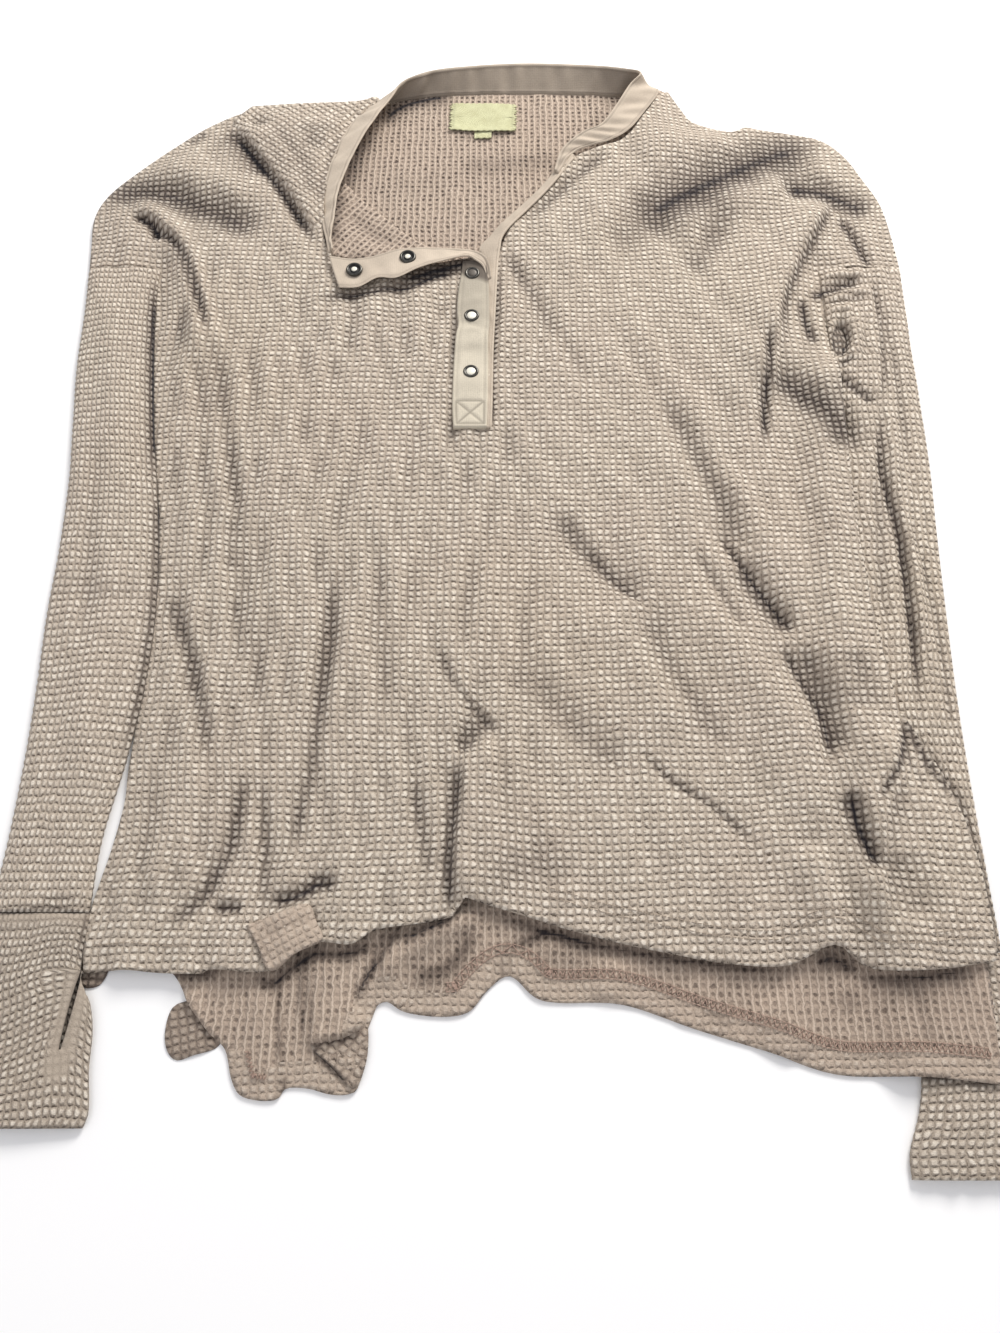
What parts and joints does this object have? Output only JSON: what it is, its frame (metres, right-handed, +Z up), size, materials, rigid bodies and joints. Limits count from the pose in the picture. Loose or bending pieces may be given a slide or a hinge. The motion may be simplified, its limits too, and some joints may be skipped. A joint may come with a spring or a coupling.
{
  "type": "thermal top",
  "caption": "Oversized long-sleeved waffle-knit thermal top with a snap placket, thumbhole cuffs and a longer split back hem, laid flat.",
  "frame": {"origin": "middle of the laid-out footprint, on the surface it lies on", "axes": "+Z up off the surface, front of the garment up; +Y from the hems towards the collar; +X to the right of someone who looks down from the hem side"},
  "size_m": [0.626, 0.837, 0.022],
  "materials": {
    "waffle_knit": "dry mauve-taupe waffle knit, raised light cells and darker grooves",
    "plain_knit": "smooth plain knit, a little greyer than the waffle",
    "label_cloth": "pale yellow woven label, blank",
    "snap_metal": "darkened nickel with worn bright rims"
  },
  "bodies": {
    "root": {"back": "waffle_knit", "front": "waffle_knit", "sleeve_left": "waffle_knit", "sleeve_right": "waffle_knit", "cuff_left": "waffle_knit", "cuff_right": "waffle_knit", "neckband": "plain_knit", "placket_flap": "plain_knit", "placket_under": "plain_knit", "neck_label": "label_cloth", "snap_socket_outer": "snap_metal", "snap_socket_inner": "snap_metal", "snap_stud_top": "snap_metal", "snap_stud_middle": "snap_metal", "snap_stud_bottom": "snap_metal"}
  },
  "joints": []
}
